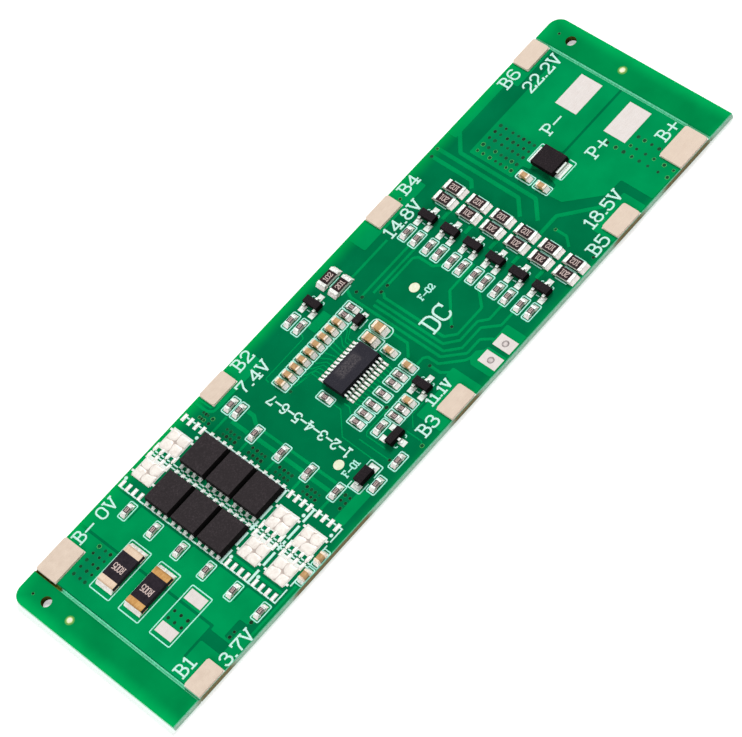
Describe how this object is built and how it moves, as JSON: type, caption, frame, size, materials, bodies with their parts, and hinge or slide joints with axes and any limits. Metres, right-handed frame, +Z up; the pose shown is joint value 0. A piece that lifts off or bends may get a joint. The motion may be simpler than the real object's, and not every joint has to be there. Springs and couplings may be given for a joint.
{
  "type": "battery management board",
  "caption": "Long green circuit board that protects and balances a string of cells, with nickel weld tabs, current shunts, power transistors and break-off end rails.",
  "frame": {"origin": "middle of the board's underside", "axes": "+X along the board from the shunt end to the output end, +Y across it towards the edge with rounded corners, +Z up from the underside through the parts"},
  "size_m": [0.117, 0.034, 0.0023],
  "materials": {
    "laminate": "glossy green solder mask",
    "bare_copper": "tinned copper dots",
    "nickel": "matte nickel strip",
    "solder": "reflowed solder",
    "plated_end": "tin plating",
    "copper_end": "bare copper alloy",
    "tinned_lead": "tin-plated lead",
    "mould": "moulding compound",
    "glaze": "dark glaze",
    "resistive_alloy": "resistance alloy",
    "alumina": "white alumina",
    "resistor_ceramic": "dark glazed alumina",
    "capacitor_ceramic": "fired capacitor ceramic"
  },
  "bodies": {
    "root": {"alignment_targets": "bare_copper", "balance_transistors": "mould", "channel_resistor_ceramics": "resistor_ceramic", "channel_resistor_ends": "plated_end", "channel_resistor_joints": "solder", "circuit_board": "laminate", "clamp_diode": "mould", "control_transistors": "mould", "controller_body": "mould", "controller_lands": "solder", "controller_leads": "tinned_lead", "diode_lands": "solder", "diode_leads": "tinned_lead", "gate_resistor_ceramics": "resistor_ceramic", "gate_resistor_ends": "plated_end", "gate_resistor_joints": "solder", "load_resistor_ceramics": "alumina", "load_resistor_ends": "plated_end", "load_resistor_glazes": "glaze", "load_resistor_joints": "solder", "medium_capacitor_ceramics": "capacitor_ceramic", "medium_capacitor_ends": "plated_end", "medium_capacitor_joints": "solder", "mosfet_1": "mould", "mosfet_2": "mould", "mosfet_3": "mould", "mosfet_4": "mould", "mosfet_5": "mould", "mosfet_6": "mould", "mosfet_lands": "solder", "mosfet_pins": "tinned_lead", "output_pad_minus": "solder", "output_pad_plus": "solder", "probe_pads": "solder", "sense_resistor_ceramics": "resistor_ceramic", "sense_resistor_ends": "plated_end", "sense_resistor_joints": "solder", "shunt_1_ends": "plated_end", "shunt_2_ends": "copper_end", "shunt_covers": "glaze", "shunt_elements": "resistive_alloy", "shunt_joints": "solder", "signal_diode": "mould", "small_capacitor_ceramics": "capacitor_ceramic", "small_capacitor_ends": "plated_end", "small_capacitor_joints": "solder", "spare_shunt_lands": "solder", "tab_b1": "nickel", "tab_b2": "nickel", "tab_b3": "nickel", "tab_b4": "nickel", "tab_b5": "nickel", "tab_b6": "nickel", "tab_b_minus": "nickel", "tab_b_plus": "nickel", "tab_lands": "solder", "transistor_lands": "solder", "transistor_leads": "tinned_lead", "zener_diode": "mould"}
  },
  "joints": []
}
